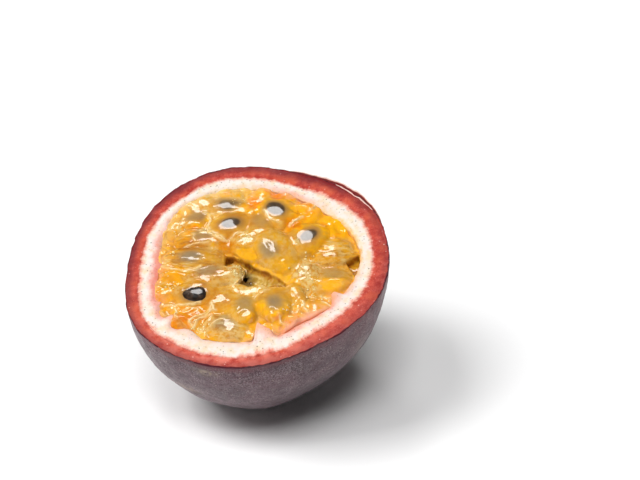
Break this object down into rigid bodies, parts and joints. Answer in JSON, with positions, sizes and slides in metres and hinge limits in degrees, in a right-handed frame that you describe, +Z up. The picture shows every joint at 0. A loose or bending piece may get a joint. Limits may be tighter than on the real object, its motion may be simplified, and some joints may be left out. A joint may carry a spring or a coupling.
{
  "type": "passion fruit half",
  "caption": "Passion fruit half lying cut face up: purple rind with red flesh, white pith, and a filling of yellow juice sacs with dark seeds round an open middle.",
  "frame": {"origin": "middle of the part's box in plan, on the surface that the half rests on", "axes": "+Z up; the cut face looks up and leans 14.6 degrees towards -Y and 5.3 degrees towards -X, as the half lies on its round side"},
  "size_m": [0.055, 0.0552, 0.0403],
  "materials": {
    "rind": "purple-brown skin with a dull bloom and fine pale specks, red flesh at the cut",
    "pith": "moist spongy cream-white pith, pinkish towards the pulp",
    "pulp": "wet translucent yellow-orange juice sacs",
    "seed": "dark brown-black seeds inside the sacs"
  },
  "bodies": {
    "root": {"rind": "rind", "pith": "pith", "pulp": "pulp"}
  },
  "joints": []
}
